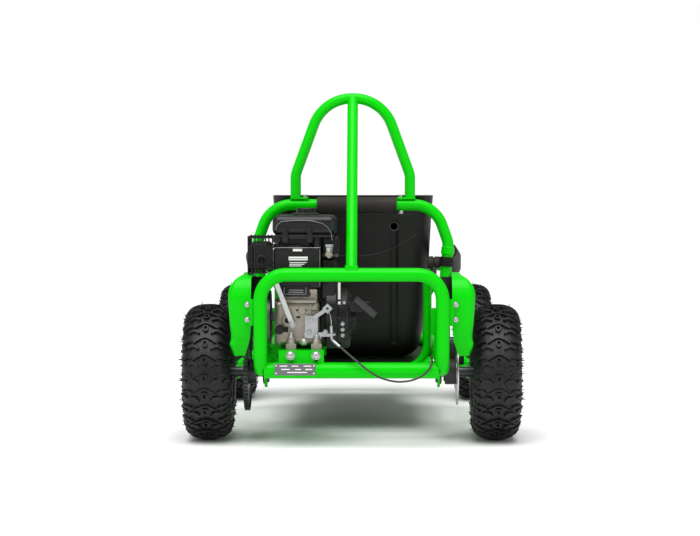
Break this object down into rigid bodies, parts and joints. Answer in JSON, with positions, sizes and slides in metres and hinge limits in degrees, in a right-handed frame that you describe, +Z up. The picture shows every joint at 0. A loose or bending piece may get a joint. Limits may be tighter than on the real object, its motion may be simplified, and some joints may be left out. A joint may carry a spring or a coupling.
{
  "type": "kart chassis",
  "caption": "Rolling kart chassis with tube frame, roll arch, bucket seat, petrol engine, chain drive, disc brake and knobbly tyres.",
  "frame": {"origin": "on the ground, at the middle of the object's footprint", "axes": "+Y the driving direction, +X the driver's right, +Z up"},
  "size_m": [0.8162, 1.336, 0.847],
  "materials": {
    "green_coat": "gloss powder coat",
    "black_coat": "satin powder coat",
    "foam": "matte foam skin",
    "black_rubber": "ribbed, matte",
    "seat_plastic": "fine moulded grain",
    "zinc": "bright zinc plate",
    "cast_aluminium": "as cast, matt",
    "engine_black": "semi-gloss moulded",
    "cage_black": "heat-resistant satin black",
    "plate_metal": "brushed, blank",
    "axle_steel": "machined and oiled",
    "bearing_metal": "painted casting",
    "dark_steel": "blackened, oiled",
    "disc_steel": "ground",
    "rim_black": "satin black",
    "tyre": "matte rubber",
    "cable_black": "smooth sheath",
    "grip_black": "soft grip",
    "pedal_metal": "satin black"
  },
  "bodies": {
    "chassis": {"lower_frame": "green_coat", "rear_loop": "green_coat", "main_hoop": "green_coat", "roll_arch": "green_coat", "side_bars": "green_coat", "sill_bars": "green_coat", "front_hoop": "green_coat", "front_bumper": "green_coat", "floor_pan": "black_coat", "hoop_pad": "foam", "side_pads": "foam", "hoop_straps": "black_rubber", "seat_shell": "seat_plastic", "mudguard_left": "green_coat", "mudguard_right": "green_coat", "engine_mount": "green_coat", "engine_bolts": "zinc", "crankcase": "cast_aluminium", "oil_cap": "engine_black", "cylinder": "cast_aluminium", "cylinder_shroud": "engine_black", "spark_plug": "engine_black", "blower_housing": "engine_black", "recoil_housing": "engine_black", "fuel_tank": "engine_black", "air_filter": "engine_black", "carburettor": "cast_aluminium", "muffler_guard": "cage_black", "muffler": "cage_black", "engine_stay": "zinc", "throttle_bracket": "zinc", "frame_fasteners": "zinc", "data_plate": "plate_metal", "front_panel": "seat_plastic", "throttle_cable": "cable_black", "cable_ends": "zinc", "axle_bearings": "bearing_metal", "brake_caliper": "bearing_metal", "drive_chain": "dark_steel"},
    "rear_axle": {"rear_axle_shaft": "axle_steel", "sprocket": "dark_steel", "brake_disc": "disc_steel", "rear_rims": "rim_black", "rear_tyres": "tyre"},
    "clutch": {"clutch_drum": "dark_steel"},
    "knuckle_left": {"knuckle_left": "axle_steel"},
    "knuckle_right": {"knuckle_right": "axle_steel"},
    "front_wheel_left": {"front_tyre_left": "tyre", "front_rim_left": "rim_black"},
    "front_wheel_right": {"front_tyre_right": "tyre", "front_rim_right": "rim_black"},
    "tie_rod_left": {"tie_rod_left": "axle_steel"},
    "tie_rod_right": {"tie_rod_right": "axle_steel"},
    "steering": {"steering_wheel": "grip_black", "steering_pillar": "axle_steel"},
    "throttle_pedal": {"throttle_pedal": "pedal_metal"},
    "brake_pedal": {"brake_pedal": "pedal_metal"},
    "throttle_lever": {"throttle_lever": "zinc"},
    "starter_handle": {"starter_handle": "grip_black"},
    "fuel_cap": {"fuel_cap": "engine_black"}
  },
  "joints": [
    {"name": "rear_axle_spin", "type": "hinge", "parent": "chassis", "child": "rear_axle", "pos_m": [0, -0.452, 0.165], "axis": [-1, 0, 0], "continuous": true},
    {"name": "clutch_spin", "type": "hinge", "parent": "chassis", "child": "clutch", "pos_m": [-0.255, -0.49, 0.302], "axis": [-1, 0, 0], "continuous": true},
    {"name": "steering_turn", "type": "hinge", "parent": "chassis", "child": "steering", "pos_m": [0, 0.205, 0.455], "axis": [0, 0.7909, -0.6119], "range_deg": [-38, 38]},
    {"name": "knuckle_left_turn", "type": "hinge", "parent": "chassis", "child": "knuckle_left", "pos_m": [-0.262, 0.478, 0.165], "axis": [0, 0, 1], "range_deg": [-25, 25]},
    {"name": "knuckle_right_turn", "type": "hinge", "parent": "chassis", "child": "knuckle_right", "pos_m": [0.262, 0.478, 0.165], "axis": [0, 0, 1], "range_deg": [-25, 25]},
    {"name": "tie_rod_left_turn", "type": "hinge", "parent": "knuckle_left", "child": "tie_rod_left", "pos_m": [-0.247, 0.408, 0.2], "axis": [0, 0, 1], "range_deg": [-25, 25]},
    {"name": "tie_rod_right_turn", "type": "hinge", "parent": "knuckle_right", "child": "tie_rod_right", "pos_m": [0.247, 0.408, 0.2], "axis": [0, 0, 1], "range_deg": [-25, 25]},
    {"name": "front_left_spin", "type": "hinge", "parent": "knuckle_left", "child": "front_wheel_left", "pos_m": [-0.338, 0.478, 0.165], "axis": [-1, 0, 0], "continuous": true},
    {"name": "front_right_spin", "type": "hinge", "parent": "knuckle_right", "child": "front_wheel_right", "pos_m": [0.338, 0.478, 0.165], "axis": [-1, 0, 0], "continuous": true},
    {"name": "throttle_press", "type": "hinge", "parent": "chassis", "child": "throttle_pedal", "pos_m": [0.09, 0.52, 0.226], "axis": [-1, 0, 0], "range_deg": [0, 15], "stiffness_Nm_per_rad": 4, "springref_deg": -5.73},
    {"name": "brake_press", "type": "hinge", "parent": "chassis", "child": "brake_pedal", "pos_m": [-0.09, 0.52, 0.226], "axis": [-1, 0, 0], "range_deg": [0, 15], "stiffness_Nm_per_rad": 6, "springref_deg": -5.73},
    {"name": "throttle_lever_turn", "type": "hinge", "parent": "chassis", "child": "throttle_lever", "pos_m": [-0.096, -0.604, 0.302], "axis": [0, 1, 0], "range_deg": [0, 20]},
    {"name": "starter_pull", "type": "slide", "parent": "chassis", "child": "starter_handle", "axis": [0, -1, 0], "range_m": [0, 0.45], "stiffness_N_per_m": 20, "springref_m": -0.05},
    {"name": "fuel_cap_turn", "type": "hinge", "parent": "chassis", "child": "fuel_cap", "pos_m": [-0.11, -0.49, 0.548], "axis": [0, 0, 1], "range_deg": [0, 90]}
  ],
  "couplings": [
    {"joint": "clutch_spin", "follows": "rear_axle_spin", "ratio": 5},
    {"joint": "knuckle_left_turn", "follows": "steering_turn", "ratio": -0.6579},
    {"joint": "knuckle_right_turn", "follows": "steering_turn", "ratio": -0.6579},
    {"joint": "tie_rod_left_turn", "follows": "steering_turn", "ratio": 0.6579},
    {"joint": "tie_rod_right_turn", "follows": "steering_turn", "ratio": 0.6579},
    {"joint": "throttle_lever_turn", "follows": "throttle_press", "ratio": 1.3}
  ]
}
